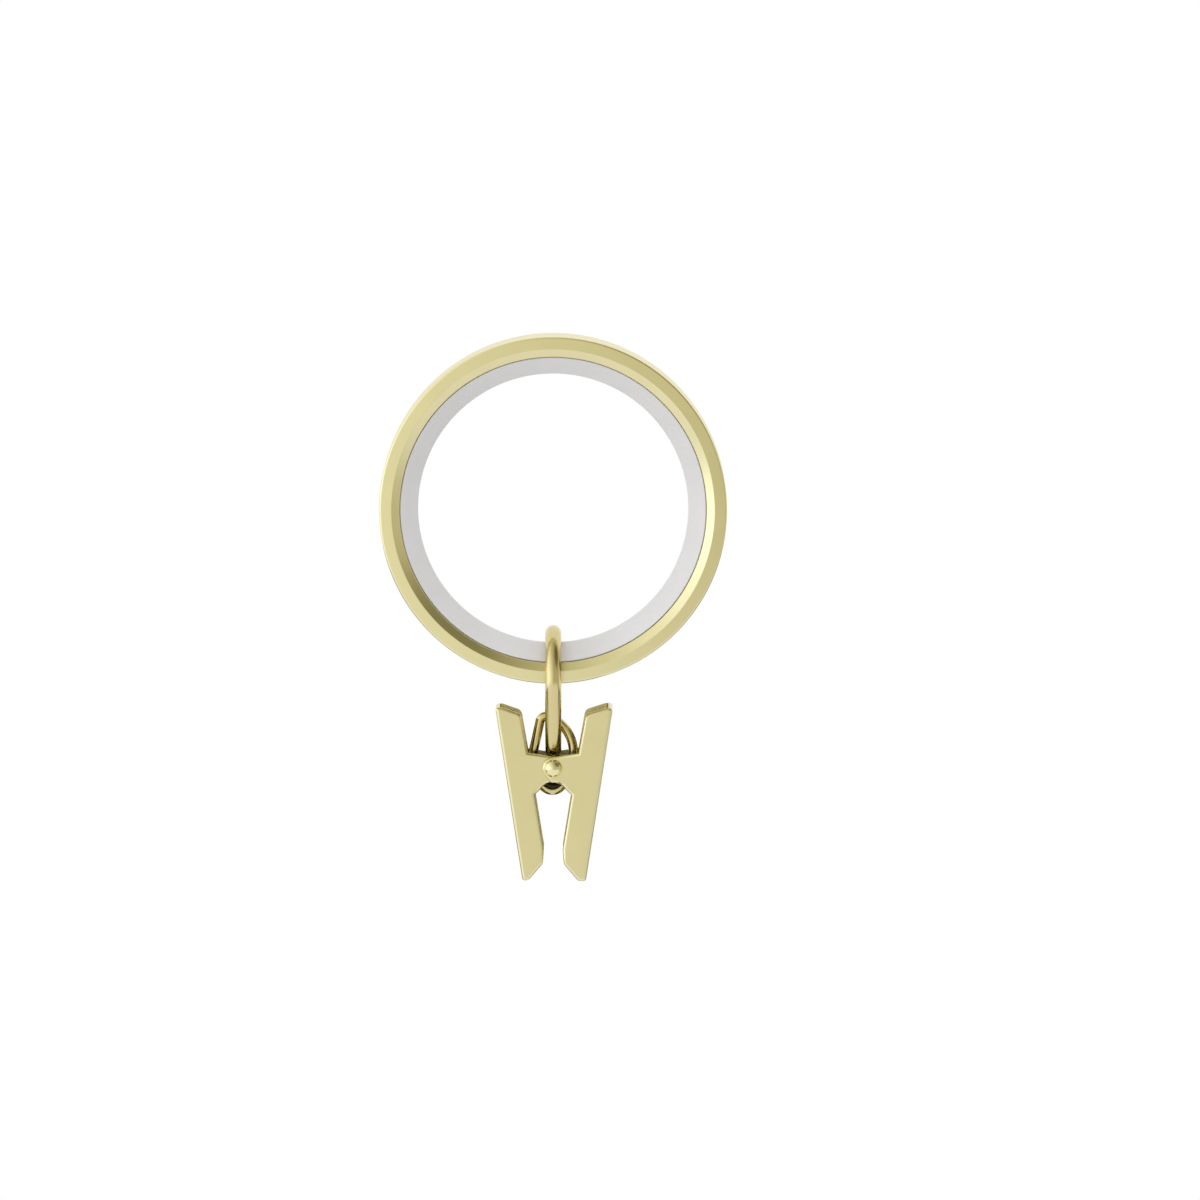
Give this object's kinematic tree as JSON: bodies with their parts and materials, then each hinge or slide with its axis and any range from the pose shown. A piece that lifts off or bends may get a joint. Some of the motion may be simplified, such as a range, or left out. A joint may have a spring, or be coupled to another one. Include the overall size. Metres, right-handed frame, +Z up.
{
  "type": "curtain ring with clip",
  "caption": "Lined metal curtain ring with a pear-shaped link and an oval link that carry a sprung two-jaw clip for a curtain's top edge.",
  "frame": {"origin": "centre of the ring, at the middle of its depth", "axes": "+Y along the curtain rod, +Z up, with the clip hanging below"},
  "size_m": [0.046, 0.0132, 0.0725],
  "materials": {
    "satin_brass": "satin",
    "wire_brass": "polished",
    "spring_wire": "satin",
    "white_liner": "satin"
  },
  "bodies": {
    "ring": {"metal_ring": "satin_brass", "glide_liner": "white_liner"},
    "link": {"hanging_link": "wire_brass"},
    "oval": {"oval_link": "wire_brass"},
    "clip": {"pivot_rivet": "satin_brass", "torsion_spring": "spring_wire"},
    "left_jaw": {"inner_jaw": "satin_brass"},
    "right_jaw": {"outer_jaw": "satin_brass"}
  },
  "joints": [
    {"name": "link_travel", "type": "hinge", "parent": "ring", "child": "link", "pos_m": [0, 0, 0], "axis": [0, 1, 0], "continuous": true},
    {"name": "clip_swing", "type": "hinge", "parent": "link", "child": "oval", "pos_m": [0, 0, -0.03051], "axis": [1, 0, 0], "range_deg": [-22, 22]},
    {"name": "clip_tilt", "type": "hinge", "parent": "oval", "child": "clip", "pos_m": [0, 0, -0.03433], "axis": [0, 1, 0], "range_deg": [-7, 7]},
    {"name": "jaw_open", "type": "hinge", "parent": "clip", "child": "left_jaw", "pos_m": [0, 0, -0.03433], "axis": [0, 1, 0], "range_deg": [-6, 14], "stiffness_Nm_per_rad": 0.02, "springref_deg": -5.73, "deforming": ["torsion_spring"]},
    {"name": "other_jaw_open", "type": "hinge", "parent": "clip", "child": "right_jaw", "pos_m": [0, 0, -0.03433], "axis": [0, 1, 0], "range_deg": [-14, 6]}
  ],
  "couplings": [
    {"joint": "other_jaw_open", "follows": "jaw_open", "ratio": -1}
  ]
}
